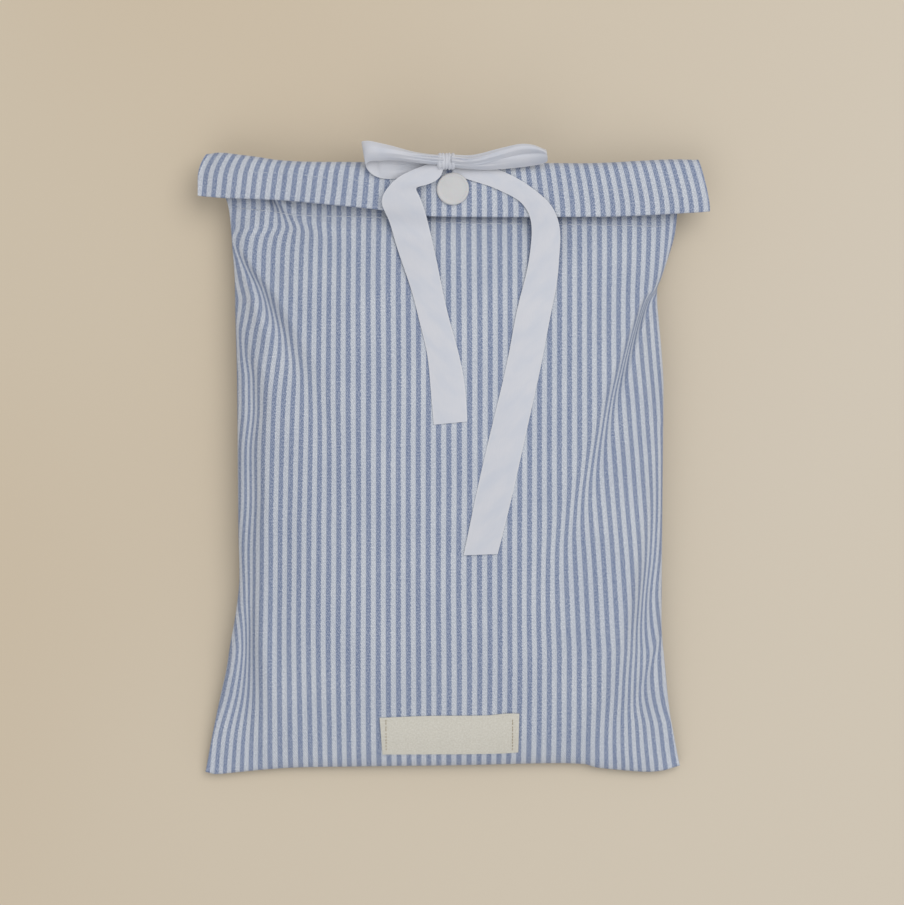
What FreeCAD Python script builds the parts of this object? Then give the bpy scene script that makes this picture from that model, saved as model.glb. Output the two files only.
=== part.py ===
import FreeCAD, Part
import math
import os

# A soft fold-over pouch of striped cotton, lying on its back.
# Millimetres. +X is the pouch's right, +Y points to its mouth, +Z is up through its thickness.
# The origin is on the surface that the pouch rests on, under the middle of its bounding box.

V = FreeCAD.Vector

# ---- Driving dimensions ----------------------------------------------------------------------
pouch_flat_width = 195.0        # the flap lies flat, so it shows the sewn width
bottom_edge_y = -121.0
mouth_edge_y = 111.0
fold_axis_y = 113.0             # the flap turns about this line
fold_axis_z = 8.5
flap_edge_y = 92.7              # free edge of the flap, in the middle
flap_top_z = 21.0               # outer face of the closed flap, in the middle
cloth = 0.7                     # one layer of cotton, as modelled
hem_cloth = 0.6                 # a turned-in layer
layer_gap = 0.05                # air between two layers that lie on each other

seam_allowance = 6.0            # width of the sewn strips inside the pouch
seam_strip_half = 0.75          # half their thickness
mouth_hem_depth = 23.0

snap_x = -0.5
snap_y = 102.6
snap_cap_radius = 6.2           # a size 20 plastic snap
snap_half_radius = 5.5
snap_post_radius = 1.75
snap_bore_radius = 2.3
snap_pin_radius = 0.9
snap_hole_radius = 1.05
snap_gap = 0.12                 # between a snap's plate and the cloth that it is pressed on

ribbon_thickness = 0.6
ribbon_lift = 1.0               # how far a tail lies above the cloth
flap_edge_clearance = 6.0       # a tail stays up this far past the flap's edge

label_left_x = -28.3
label_right_x = 24.6
label_low_y = -112.6
label_high_y = -98.6
label_thickness = 0.6

thread_radius = 0.2
thread_gap = 0.04
stitch_length = 2.3
stitch_pitch = 3.2

# ---- Outline of the filled pouch, as (y, value) pairs ------------------------------------------
left_side_x = [(-121, -94.5), (-104, -92.5), (-80, -87.5), (-60, -83.8), (-44, -82.4), (10, -83.2),
               (55, -84), (85, -85), (96, -86.6), (104, -90), (111, -94)]
right_side_x = [(-121, 87), (-104, 84.5), (-80, 81.2), (-60, 79.7), (10, 80.3), (45, 79.5), (66, 78),
                (76, 81.8), (88, 85), (96, 86), (104, 89.5), (111, 93.5)]
front_crown_z = [(-121, 4.6), (-112, 9), (-100, 14), (-84, 19), (-62, 24), (-35, 27.5), (-5, 29),
                 (30, 28.5), (60, 26), (78, 21.5), (88, 18.4), (96, 16.4), (111, 16.4)]
seam_height_z = [(-121, 2.8), (-100, 4.5), (-62, 8.5), (0, 10.5), (60, 10), (92, 9), (111, 8.6)]
back_low_z = [(-121, 0.9), (-112, 0.3), (-100, -0.1), (78, -0.1), (90, 1.5), (102, 4.5), (111, 7)]
body_stations = [-121, -112, -100, -84, -62, -35, -5, 30, 60, 78, 88, 96, 104, 111]

back_flat_reach = 0.68          # share of the back's half width that lies flat on the surface
thinnest_hollow = 0.08          # height left inside where two panels meet


def between(pairs, at):
    """The value at a place, straight between the listed pairs."""
    for (a, low), (b, high) in zip(pairs, pairs[1:]):
        if at <= b:
            return low + (high - low) * (max(at, a) - a) / (b - a)
    return pairs[-1][1]


def middle_and_half_width(y):
    left = between(left_side_x, y)
    right = between(right_side_x, y)
    return (left + right) / 2, (right - left) / 2


# ---- Cross-sections of the filled body ---------------------------------------------------------
def front_profile(s):
    """Height of the front across its width: 1 in the middle, 0 at the side seams."""
    return math.sqrt(max(0.0, 1 - abs(s) ** 3))


def back_profile(s):
    """Depth of the back: 1 where it lies flat, then a quarter ellipse up to the side seam."""
    past = max(0.0, abs(s) - back_flat_reach) / (1 - back_flat_reach)
    return math.sqrt(max(0.0, 1 - past ** 2))


def front_point(y, s, depth=0.0):
    """A point of the front panel, depth below its outer face."""
    middle, half = middle_and_half_width(y)
    base = between(seam_height_z, y) + seam_strip_half + layer_gap
    height = max(between(front_crown_z, y) - base - depth, thinnest_hollow)
    return V(middle + (half - depth) * s, y, base + height * front_profile(s))


def back_point(y, s, depth=0.0):
    """A point of the back panel, depth above its outer face."""
    middle, half = middle_and_half_width(y)
    base = between(seam_height_z, y) - seam_strip_half - layer_gap
    height = max(base - between(back_low_z, y) - depth, thinnest_hollow)
    return V(middle + (half - depth) * s, y, base - height * back_profile(s))


def front_share(x, y):
    middle, half = middle_and_half_width(y)
    return (x - middle) / half


def front_height(x, y):
    return front_point(y, front_share(x, y)).z


def curve(points):
    if len(points) == 2:
        return Part.makeLine(points[0], points[1])
    spline = Part.BSplineCurve()
    spline.interpolate(points)
    return spline.toShape()


def closed_wire(runs):
    """A closed wire through runs of points, each run starting where the last one ended."""
    return Part.Wire([curve(run) for run in runs])


def loft(wires):
    solid = Part.makeLoft(wires, True, True)
    if solid.Volume < 0:
        solid.reverse()
    return solid


def round_steps(count):
    """Shares of the half width, closer together towards the side seams."""
    angles = [math.pi / 2 * i / count for i in range(-count, count + 1)]
    return [math.copysign(abs(math.sin(a)) ** (2 / 3), a) for a in angles]


def front_wire(y):
    steps = round_steps(9)
    outer = [front_point(y, s) for s in steps]
    inner = [front_point(y, s, cloth) for s in reversed(steps)]
    return closed_wire([outer, [outer[-1], inner[0]], inner, [inner[-1], outer[0]]])


def back_runs(y, depth):
    """Left curve, flat stretch and right curve of the back, from left to right."""
    turns = [math.sin(math.pi / 2 * i / 6) for i in range(7)]
    right_steps = [back_flat_reach + (1 - back_flat_reach) * t for t in turns]
    left = [back_point(y, -s, depth) for s in reversed(right_steps)]
    right = [back_point(y, s, depth) for s in right_steps]
    return [left, [left[-1], right[0]], right]


def back_wire(y):
    outer = back_runs(y, 0.0)
    inner = [list(reversed(run)) for run in reversed(back_runs(y, cloth))]
    right_end = [outer[-1][-1], inner[0][0]]
    left_end = [inner[-1][-1], outer[0][0]]
    return closed_wire(outer + [right_end] + inner + [left_end])


def snap_pin_hole():
    """The hole through every layer between the snap's two caps."""
    start = V(snap_x, snap_y, fold_axis_z)
    return Part.makeCylinder(snap_hole_radius, flap_top_z + 1 - fold_axis_z, start, V(0, 0, 1))


def front_panel():
    panel = loft([front_wire(y) for y in body_stations])
    return panel.cut(snap_pin_hole())


def back_panel():
    """The lowest part is cut level, where the back is pressed flat on the surface."""
    panel = loft([back_wire(y) for y in body_stations])
    below = Part.makeBox(pouch_flat_width, 300, 5, V(-pouch_flat_width / 2, -150, -5))
    return panel.cut(below)


def front_patch(stations, left_x, right_x, near, far):
    """A layer that follows the front panel between two depths and two sides."""
    wires = []
    for y in stations:
        start = front_share(left_x(y), y)
        end = front_share(right_x(y), y)
        steps = [start + (end - start) * i / 12 for i in range(13)]
        upper = [front_point(y, s, near) for s in steps]
        lower = [front_point(y, s, far) for s in reversed(steps)]
        runs = [upper, [upper[-1], lower[0]], lower, [lower[-1], upper[0]]]
        wires.append(closed_wire(runs))
    return loft(wires)


def front_mouth_hem():
    """The top of the front panel, turned in at the mouth."""
    start = mouth_edge_y - mouth_hem_depth
    inset = seam_allowance + 4
    hem = front_patch([start, 96, 104, mouth_edge_y],
                      lambda y: between(left_side_x, y) + inset,
                      lambda y: between(right_side_x, y) - inset,
                      cloth + layer_gap, cloth + layer_gap + hem_cloth)
    return hem.cut(snap_pin_hole())


# ---- Seams -------------------------------------------------------------------------------------
def side_seam(side_x, inward):
    """Two seam allowances stitched together, inside the pouch along one side."""
    wires = []
    for y in body_stations[1:]:
        x = between(side_x, y) + inward * 0.1
        z = between(seam_height_z, y)
        low = z - seam_strip_half
        high = z + seam_strip_half
        inner_x = x + inward * seam_allowance
        corners = [V(x, y, low), V(inner_x, y, low), V(inner_x, y, high), V(x, y, high)]
        wires.append(Part.makePolygon(corners + corners[:1]))
    return loft(wires)


def bottom_seam():
    """The allowance along the bottom edge, between the ends of the two panels."""
    wires = []
    for y in (bottom_edge_y, body_stations[1] - 0.3):
        left = between(left_side_x, y) + 0.1
        right = between(right_side_x, y) - 0.1
        low = between(seam_height_z, y) - seam_strip_half
        high = low + 2 * seam_strip_half
        corners = [V(left, y, low), V(right, y, low), V(right, y, high), V(left, y, high)]
        wires.append(Part.makePolygon(corners + corners[:1]))
    return loft(wires)


def stitch(start, end):
    return Part.makeCylinder(thread_radius, (end - start).Length, start, end - start)


def stitch_row(point_at, start, end):
    """Stitches at an even pitch. point_at gives the thread's centre at a place along the row."""
    count = int((end - start) / stitch_pitch)
    row = []
    for i in range(count):
        at = start + stitch_pitch * i
        row.append(stitch(point_at(at), point_at(at + stitch_length)))
    return Part.makeCompound(row)


def lifted(point, height=0.3):
    return point + V(0, 0, height)


def mouth_hem_line_y(x):
    """The topstitch runs a little lower at the right."""
    return 91.0 - 0.022 * x


def mouth_hem_stitches():
    def point_at(x):
        y = mouth_hem_line_y(x)
        return lifted(V(x, y, front_height(x, y)), 0.45)
    return stitch_row(point_at, -76, 76)


def side_seam_stitches(side_x, inward):
    def point_at(y):
        x = between(side_x, y) + inward * seam_allowance * 0.7
        return V(x, y, between(seam_height_z, y) + seam_strip_half + thread_radius + thread_gap)
    return stitch_row(point_at, -98, 106)


def bottom_seam_stitches():
    y = body_stations[1] - 2.5
    z = between(seam_height_z, y) + seam_strip_half + thread_radius + thread_gap
    return stitch_row(lambda x: V(x, y, z), -84, 78)


# ---- Label -------------------------------------------------------------------------------------
def label():
    return front_patch([label_low_y, -112, -100, label_high_y],
                       lambda y: label_left_x, lambda y: label_right_x,
                       -(layer_gap + label_thickness), -layer_gap)


def label_stitches(x):
    def point_at(y):
        middle, half = middle_and_half_width(y)
        depth = -(layer_gap + label_thickness)
        share = (x - middle) / (half - depth)
        return lifted(front_point(y, share, depth), 0.35)
    return stitch_row(point_at, label_low_y + 1, label_high_y)


# ---- Flap --------------------------------------------------------------------------------------
# The flap's outer face in a Y-Z section: from the fold, up round the mouth and down the front.
flap_section = [(fold_axis_y + 0.5, fold_axis_z - 0.5), (fold_axis_y + 1.1, fold_axis_z + 3),
                (fold_axis_y + 0.9, fold_axis_z + 7), (fold_axis_y - 0.4, fold_axis_z + 10.3),
                (fold_axis_y - 2.8, fold_axis_z + 12), (fold_axis_y - 6, flap_top_z),
                (fold_axis_y - 13, flap_top_z), (flap_edge_y, flap_top_z)]
flap_flat_shares = [0, 0.05, 0.12, 0.2, 0.3, 0.42, 0.7, 1]
flap_edge_line = [(-97.5, 100), (-87, 99), (-51, 97.5), (-27, 95), (-9, flap_edge_y),
                  (55, flap_edge_y), (97.5, 94)]
flap_end_z = fold_axis_z + 0.7
flap_end_fullness = 0.15
flap_stations = [-97.5, -95, -90, -82, -70, -51, -27, -9, 8, 30, 55, 70, 82, 90, 95, 97.5]
flap_hem_first = 3              # the hem starts at this point of the section


def flap_fullness(x):
    """How far the flap stands up over the body: 1 in the middle, little at its two ends."""
    share = min(1.0, abs(x) / (pouch_flat_width / 2))
    return flap_end_fullness + (1 - flap_end_fullness) * math.sqrt(max(0.0, 1 - share ** 3))


def flap_points(x):
    """The outer face of the flap's section at x, as points from the fold to the free edge."""
    full = flap_fullness(x)
    edge_y = between(flap_edge_line, x)
    root_y, root_z = flap_section[0]
    points = []
    for (y, z), share in zip(flap_section, flap_flat_shares):
        flat_y = root_y + (edge_y - root_y) * share
        bent_y = y + (edge_y - flap_edge_y) * share
        points.append(V(x, flat_y + (bent_y - flat_y) * full, flap_end_z + (z - flap_end_z) * full))
    return points


def inset(points, depth):
    """The same section, moved in towards the pouch by depth."""
    moved = []
    for i, point in enumerate(points):
        before = points[max(i - 1, 0)]
        after = points[min(i + 1, len(points) - 1)]
        along = (after - before).normalize()
        moved.append(point + V(0, along.z, -along.y).multiply(-depth))
    return moved


def flap_layer(first, near, far):
    wires = []
    for x in flap_stations:
        points = flap_points(x)
        outer = inset(points, near)[first:]
        inner = list(reversed(inset(points, far)[first:]))
        runs = [outer, [outer[-1], inner[0]], inner, [inner[-1], outer[0]]]
        wires.append(closed_wire(runs))
    return loft(wires)


def flap_panel():
    return flap_layer(0, 0.0, hem_cloth).cut(snap_pin_hole())


def flap_hem():
    inner_face = hem_cloth + layer_gap
    hem = flap_layer(flap_hem_first, inner_face, inner_face + hem_cloth)
    return hem.cut(snap_pin_hole())


def flap_height(x, y):
    """Outer face of the flap above a place that it covers."""
    points = [(p.y, p.z) for p in reversed(flap_points(x)) if p.y < fold_axis_y]
    return between(sorted(points), y)


def flap_hem_stitches():
    def point_at(x):
        y = between(flap_edge_line, x) + 9.5
        return V(x, y, flap_height(x, y) + 0.5)
    left_half = stitch_row(point_at, -86, snap_x - snap_cap_radius - 3)
    right_half = stitch_row(point_at, snap_x + snap_cap_radius + 2, 86)
    return Part.makeCompound(left_half.Solids + right_half.Solids)


# ---- Snap --------------------------------------------------------------------------------------
flap_inner_z = flap_top_z - 2 * hem_cloth - layer_gap
front_face_z = between(front_crown_z, snap_y)
front_inner_z = front_face_z - cloth - layer_gap - hem_cloth
socket_height = 2.0
socket_web = 0.6
stud_plate = 0.9
stud_post = 1.5


def turned(profile, z):
    """A solid turned about the snap's axis from (radius, height) pairs."""
    points = [V(snap_x + r, snap_y, z + h) for r, h in profile]
    face = Part.Face(Part.makePolygon(points + points[:1]))
    return face.revolve(V(snap_x, snap_y, 0), V(0, 0, 1), 360)


def snap_outer_cap():
    pin_end = -(flap_top_z - flap_inner_z) - socket_web + 0.1
    rim = snap_cap_radius
    profile = [(0, pin_end), (snap_pin_radius, pin_end), (snap_pin_radius, snap_gap),
               (rim - 0.4, snap_gap),
               (rim, 0.5), (rim - 0.1, 0.95), (rim - 0.5, 1.3), (rim - 1.0, 1.3), (rim - 1.4, 1.0),
               (rim - 2.4, 0.95), (0, 1.05)]
    return turned(profile, flap_top_z)


def snap_socket():
    hole = snap_pin_radius + 0.1
    top = -snap_gap
    profile = [(hole, top), (snap_half_radius, top), (snap_half_radius, top - 1.0),
               (snap_half_radius - 1.5, -socket_height), (snap_bore_radius, -socket_height),
               (snap_bore_radius, top - socket_web), (hole, top - socket_web)]
    return turned(profile, flap_inner_z)


def snap_stud():
    hole = snap_pin_radius + 0.1
    base = snap_gap
    top = base + stud_plate + stud_post
    profile = [(hole, base), (snap_half_radius, base), (snap_half_radius, base + 0.5),
               (snap_half_radius - 0.6, base + stud_plate), (snap_post_radius, base + stud_plate),
               (snap_post_radius, top - 0.3), (snap_post_radius - 0.3, top), (0, top),
               (0, top - 0.5), (hole, top - 0.5)]
    return turned(profile, front_face_z)


def snap_inner_cap():
    through = front_face_z - front_inner_z + stud_plate
    profile = [(0, -1.2), (snap_cap_radius - 0.5, -1.2), (snap_cap_radius, -0.7),
               (snap_cap_radius, -0.4), (snap_cap_radius - 0.3, -snap_gap), (snap_pin_radius, -snap_gap),
               (snap_pin_radius, through), (0, through)]
    return turned(profile, front_inner_z)


# ---- Ribbon ------------------------------------------------------------------------------------
# Each tail is given by pairs of places on its two edges, from the knot to its cut end.
tail_left_edges = [((-23, 108.3), (-7, 107)), ((-27, 103), (-14, 103)), ((-27.5, 99), (-13, 95.5)),
                   ((-25, 90), (-11, 85.5)), ((-19, 73.5), (-6, 73)), ((-14, 56), (-2.5, 55.5)),
                   ((-10, 41), (2, 41.5)), ((-9, 28), (4.5, 26.5)), ((-7.5, 13), (5, 14))]
tail_right_edges = [((3, 108.5), (9.5, 109.5)), ((10, 106), (18.5, 109.3)), ((17.5, 104), (26, 107.5)),
                    ((23.5, 101), (34, 103)), ((27, 96), (38, 97.5)), ((29, 89.5), (40.5, 89.5)),
                    ((29, 80), (40.5, 78)), ((27, 69.5), (39, 66)), ((25, 61), (37.5, 58)),
                    ((20.5, 39.5), (33.5, 36)), ((16, 18.5), (29, 15)), ((10, -7), (23, -11)),
                    ((3.5, -36.5), (16.5, -36))]
loop_low_z = flap_top_z + 0.7
# A loop's side view, as (share of its length, height above loop_low_z), out below and back above.
loop_section = [(0.0, 1.7), (0.1, 1.0), (0.35, 0.2), (0.72, 0), (0.93, 0.8), (1.0, 2.7),
                (0.94, 4.6), (0.72, 5.6), (0.36, 4.9), (0.1, 3.5), (0.0, 2.9)]
knot_middle = V(-1.5, 114.0, flap_top_z + 3.3)
knot_size = V(7.6, 6.8, 5.4)


def cover_height(x, y):
    """The highest cloth under a place: the flap where it reaches, or the front panel."""
    front = front_height(x, y)
    if y < between(flap_edge_line, x) - flap_edge_clearance:
        return front
    return max(front, flap_height(x, min(y, fold_axis_y - 3)))


def ribbon_tail(edges):
    wires = []
    for (x1, y1), (x2, y2) in edges:
        a = V(x1, y1, cover_height(x1, y1) + ribbon_lift)
        b = V(x2, y2, cover_height(x2, y2) + ribbon_lift)
        up = V(0, 0, ribbon_thickness)
        wires.append(Part.makePolygon([a, b, b + up, a + up, a]))
    return loft(wires)


def loop_wire(inner_end, outer_end):
    """The loop's band in the upright plane from its knot end to its outer fold."""
    along = outer_end - inner_end
    length = along.Length
    flat = [V(0, share * length, height) for share, height in loop_section]
    inner = list(reversed(inset(flat, -ribbon_thickness)))

    def place(p):
        return inner_end + along * (p.y / length) + V(0, 0, loop_low_z + p.z)
    outer = [place(p) for p in flat]
    inner = [place(p) for p in inner]
    return closed_wire([outer, [outer[-1], inner[0]], inner, [inner[-1], outer[0]]])


def ribbon_loop(knot_low, outer_low, knot_high, outer_high):
    return loft([loop_wire(knot_low, outer_low), loop_wire(knot_high, outer_high)])


def ribbon_loop_left():
    return ribbon_loop(V(-6.2, 111.2, 0), V(-31.5, 110.2, 0), V(-6.2, 116.4, 0), V(-35.1, 120.8, 0))


def ribbon_loop_right():
    return ribbon_loop(V(3.2, 111.2, 0), V(34.6, 112.6, 0), V(3.2, 116.4, 0), V(31, 120.8, 0))


def ribbon_knot():
    block = Part.makeBox(knot_size.x, knot_size.y, knot_size.z, knot_middle - knot_size * 0.5)
    return block.makeFillet(1.6, block.Edges)


def ribbon_tack():
    """A bar tack between the knot and the flap."""
    low = flap_height(snap_x, 110.9) + 0.35
    high = knot_middle.z - knot_size.z / 2
    return Part.makeBox(4.0, 0.8, high - low, V(-3.5, 111.4, low))


# ---- Every sub-part ----------------------------------------------------------------------------
sub_parts = {
    "front_panel": front_panel(),
    "back_panel": back_panel(),
    "front_mouth_hem": front_mouth_hem(),
    "side_seam_left": side_seam(left_side_x, 1),
    "side_seam_right": side_seam(right_side_x, -1),
    "bottom_seam": bottom_seam(),
    "mouth_hem_stitches": mouth_hem_stitches(),
    "side_seam_stitches_left": side_seam_stitches(left_side_x, 1),
    "side_seam_stitches_right": side_seam_stitches(right_side_x, -1),
    "bottom_seam_stitches": bottom_seam_stitches(),
    "snap_stud": snap_stud(),
    "snap_inner_cap": snap_inner_cap(),
    "label": label(),
    "label_stitches_left": label_stitches(label_left_x + 2),
    "label_stitches_right": label_stitches(label_right_x - 2),
    "flap_panel": flap_panel(),
    "flap_hem": flap_hem(),
    "flap_hem_stitches": flap_hem_stitches(),
    "snap_outer_cap": snap_outer_cap(),
    "snap_socket": snap_socket(),
    "ribbon_knot": ribbon_knot(),
    "ribbon_tack": ribbon_tack(),
    "ribbon_tail_left": ribbon_tail(tail_left_edges),
    "ribbon_tail_right": ribbon_tail(tail_right_edges),
    "ribbon_loop_left": ribbon_loop_left(),
    "ribbon_loop_right": ribbon_loop_right(),
}

os.makedirs("parts", exist_ok=True)
whole = FreeCAD.BoundBox()
for name, shape in sub_parts.items():
    shape.exportStep("parts/" + name + ".step")
    whole.add(shape.BoundBox)
    print(name, "valid", shape.isValid(), "solids", len(shape.Solids), "volume", round(shape.Volume, 1))
print("whole", whole)
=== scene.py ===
import math
import random

import bpy
import numpy as np
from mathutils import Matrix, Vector, noise
from mathutils.bvhtree import BVHTree

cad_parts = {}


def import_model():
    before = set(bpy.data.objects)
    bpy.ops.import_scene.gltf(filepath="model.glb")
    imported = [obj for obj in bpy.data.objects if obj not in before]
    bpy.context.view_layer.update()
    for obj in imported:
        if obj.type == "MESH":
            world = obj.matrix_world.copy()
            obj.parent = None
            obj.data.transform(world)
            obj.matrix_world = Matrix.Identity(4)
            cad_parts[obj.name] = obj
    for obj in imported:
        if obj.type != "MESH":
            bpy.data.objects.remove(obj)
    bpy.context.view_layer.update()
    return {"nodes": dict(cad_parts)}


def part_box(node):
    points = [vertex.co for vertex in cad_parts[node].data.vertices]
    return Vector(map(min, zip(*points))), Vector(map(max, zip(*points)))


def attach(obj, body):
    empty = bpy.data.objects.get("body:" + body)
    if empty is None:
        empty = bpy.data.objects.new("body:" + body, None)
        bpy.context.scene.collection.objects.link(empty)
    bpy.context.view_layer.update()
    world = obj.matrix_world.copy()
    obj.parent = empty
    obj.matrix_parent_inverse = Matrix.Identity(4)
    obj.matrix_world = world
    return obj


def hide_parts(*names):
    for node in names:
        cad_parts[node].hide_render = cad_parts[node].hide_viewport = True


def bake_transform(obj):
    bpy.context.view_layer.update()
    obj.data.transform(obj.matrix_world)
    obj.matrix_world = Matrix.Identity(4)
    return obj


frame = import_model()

# A fold-over snap pouch of striped cotton with a satin bow, lying on its back.
# Lengths are in millimetres and become metres when a mesh is made. Lights and camera are in metres.
MM = 0.001
SEED = 7
CUT_MAP = "cut"  # UV map with each cloth's own flat-cut coordinates, in metres


def node_box(name):
    """Lowest and highest corner of a CAD node, in millimetres."""
    low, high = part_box(name)
    return low / MM, high / MM


front_low, front_high = node_box("front_panel")
flap_high = node_box("flap_panel")[1]
cap_low, cap_high = node_box("snap_outer_cap")
label_low, label_high = node_box("label")

bottom_y = front_low.y + 2.2  # the panels' lower edge bows up a little between its corners
mouth_y = front_high.y
flap_half_width = flap_high.x
flap_top_z = flap_high.z
snap_x = (cap_low.x + cap_high.x) / 2
snap_y = (cap_low.y + cap_high.y) / 2
snap_radius = (cap_high.x - cap_low.x) / 2

cloth_thickness = 0.45
ribbon_thickness = 0.22
hem_depth = 23  # of both turned-in hems
stripe_pitch = 3.83
rim_radius = 1.5  # the front rolls under at the sides and the bottom, onto the seam
corner_reach = 16  # how far up from the bottom edge its corners change the shape
above_all = 80  # higher than every piece


# ---- Lines and surfaces ----
def smooth(pairs, at):
    """Values at places along a smooth line through (place, value) pairs, with no overshoot."""
    places, values = np.array(pairs, float).T
    steps = np.diff(places)
    slopes = np.diff(values) / steps
    tangents = np.concatenate([slopes[:1], np.zeros(len(slopes) - 1), slopes[-1:]])
    for i in range(1, len(slopes)):
        if slopes[i - 1] * slopes[i] > 0:
            tangents[i] = 2 * slopes[i - 1] * slopes[i] / (slopes[i - 1] + slopes[i])
    at = np.clip(at, places[0], places[-1])
    i = np.clip(np.searchsorted(places, at, side="right") - 1, 0, len(steps) - 1)
    t = (at - places[i]) / steps[i]
    start = (1 + 2 * t) * (1 - t) ** 2 * values[i] + t * (1 - t) ** 2 * steps[i] * tangents[i]
    end = t ** 2 * (3 - 2 * t) * values[i + 1] + t ** 2 * (t - 1) * steps[i] * tangents[i + 1]
    return start + end


def spline(points, count):
    """count points on a natural cubic spline through the given points, evenly spaced by length."""
    points = np.array(points, float)
    gaps = np.linalg.norm(np.diff(points, axis=0), axis=1)
    knots = np.concatenate([[0], np.cumsum(gaps)])
    size = len(points)
    system = np.eye(size)
    rise = np.zeros_like(points)
    for i in range(1, size - 1):
        system[i, i - 1:i + 2] = gaps[i - 1], 2 * (gaps[i - 1] + gaps[i]), gaps[i]
        rise[i] = 6 * ((points[i + 1] - points[i]) / gaps[i] - (points[i] - points[i - 1]) / gaps[i - 1])
    bend = np.linalg.solve(system, rise)
    at = np.linspace(0, knots[-1], count)
    i = np.clip(np.searchsorted(knots, at, side="right") - 1, 0, size - 2)
    gap = gaps[i][:, None]
    right = (at - knots[i])[:, None] / gap
    left = 1 - right
    curved = (left ** 3 - left) * bend[i] + (right ** 3 - right) * bend[i + 1]
    return left * points[i] + right * points[i + 1] + curved * gap ** 2 / 6


def ease(t):
    """0 below 0, 1 above 1, smooth between."""
    t = np.clip(t, 0, 1)
    return t * t * (3 - 2 * t)


def bell(t):
    return np.exp(-t * t)


def spread(first, second, t):
    """A grid whose rows run from one line of values to another, at shares t."""
    return first[:, None] * (1 - t) + second[:, None] * t


erf = np.vectorize(math.erf)


def wander(x, y, scale, seed):
    """Smooth noise between about -1 and 1 at places x, y; scale is the size of its lumps."""
    flat = [noise.noise(Vector((a / scale[0], b / scale[1], seed))) for a, b in zip(x.ravel(), y.ravel())]
    return np.array(flat).reshape(x.shape)


def grid_faces(rows, columns, flip=False):
    at = np.arange((rows - 1) * columns).reshape(rows - 1, columns)[:, :-1].ravel()
    corners = [at, at + 1, at + columns + 1, at + columns]
    if flip:
        corners.reverse()
    return np.stack(corners, axis=1)


def ring_faces(rings, sides, first=0):
    """Faces between closed rings of points, listed ring after ring."""
    faces = []
    for ring in range(rings - 1):
        for k in range(sides):
            a = first + ring * sides + k
            b = first + ring * sides + (k + 1) % sides
            faces.append((a, a + sides, b + sides, b))
    return faces


def link_object(name, data, place=(0, 0, 0)):
    piece = bpy.data.objects.new(name, data)
    piece.location = place
    bpy.context.scene.collection.objects.link(piece)
    return piece


def link_mesh(name, points, faces, cut=None):
    """A smooth-shaded object from points in millimetres, with its flat-cut map."""
    mesh = bpy.data.meshes.new(name)
    mesh.from_pydata((np.asarray(points) * MM).tolist(), [], [tuple(face) for face in faces])
    mesh.polygons.foreach_set("use_smooth", [True] * len(mesh.polygons))
    if cut is not None:
        corner_vertex = np.empty(len(mesh.loops), int)
        mesh.loops.foreach_get("vertex_index", corner_vertex)
        layer = mesh.uv_layers.new(name=CUT_MAP)
        layer.data.foreach_set("uv", (np.asarray(cut)[corner_vertex] * MM).ravel())
    return link_object(name, mesh)


def sharpen_rim(mesh, rows, columns):
    """Cut edges stay crisp: the sheet's four borders don't shade smoothly into its thickness."""
    ends = np.empty(2 * len(mesh.edges), int)
    mesh.edges.foreach_get("vertices", ends)
    row, column = np.divmod(ends.reshape(-1, 2), columns)
    borders = [row == 0, row == rows - 1, column == 0, column == columns - 1]
    on_rim = np.any([border.all(axis=1) for border in borders], axis=0)
    mesh.edges.foreach_set("use_edge_sharp", on_rim)


def cloth_piece(name, x, y, z, across, along, thickness, flip=False):
    """A sheet from grids of points. The grid is its outer face, and the thickness goes inward."""
    points = np.stack([x, y, z], axis=-1).reshape(-1, 3)
    cut = np.stack([across, along], axis=-1).reshape(-1, 2)
    piece = link_mesh(name, points, grid_faces(*x.shape, flip), cut)
    sharpen_rim(piece.data, *x.shape)
    solid = piece.modifiers.new("thickness", "SOLIDIFY")
    solid.thickness = thickness * MM
    solid.offset = -1
    solid.thickness_clamp = 1.5
    return piece


def tree_of(piece):
    mesh = piece.data
    corners = [tuple(face.vertices) for face in mesh.polygons]
    return BVHTree.FromPolygons([v.co / MM for v in mesh.vertices], corners)


def height_over(trees, x, y, beside=0.0):
    """Height of the highest of some surfaces at a place, or the height beside them."""
    start = Vector((x, y, above_all))
    hits = [tree.ray_cast(start, Vector((0, 0, -1)))[0] for tree in trees]
    return max([hit.z for hit in hits if hit is not None], default=beside)


def ground_under(trees, x, y, beside=0.0):
    """Heights of some surfaces under a whole grid of places."""
    return np.array([[height_over(trees, a, b, beside) for a, b in zip(*row)] for row in zip(x, y)])


def arc_along(x, y, z, axis):
    """Length along one axis of a grid of points, from its first row or column."""
    steps = np.linalg.norm(np.diff([x, y, z], axis=axis + 1), axis=0)
    return np.insert(np.cumsum(steps, axis=axis), 0, 0, axis=axis)


def arc_across(x, y, z):
    """Length across the rows of a grid of points, counted from its middle column's x."""
    across = arc_along(x, y, z, 1)
    middle = [x.shape[1] // 2]
    return across + x[:, middle] - across[:, middle]


# ---- Materials ----
def srgb(red, green, blue):
    """A colour from 0-255 screen values."""
    linear = [((c / 255 + 0.055) / 1.055) ** 2.4 for c in (red, green, blue)]
    return (*linear, 1.0)


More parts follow.
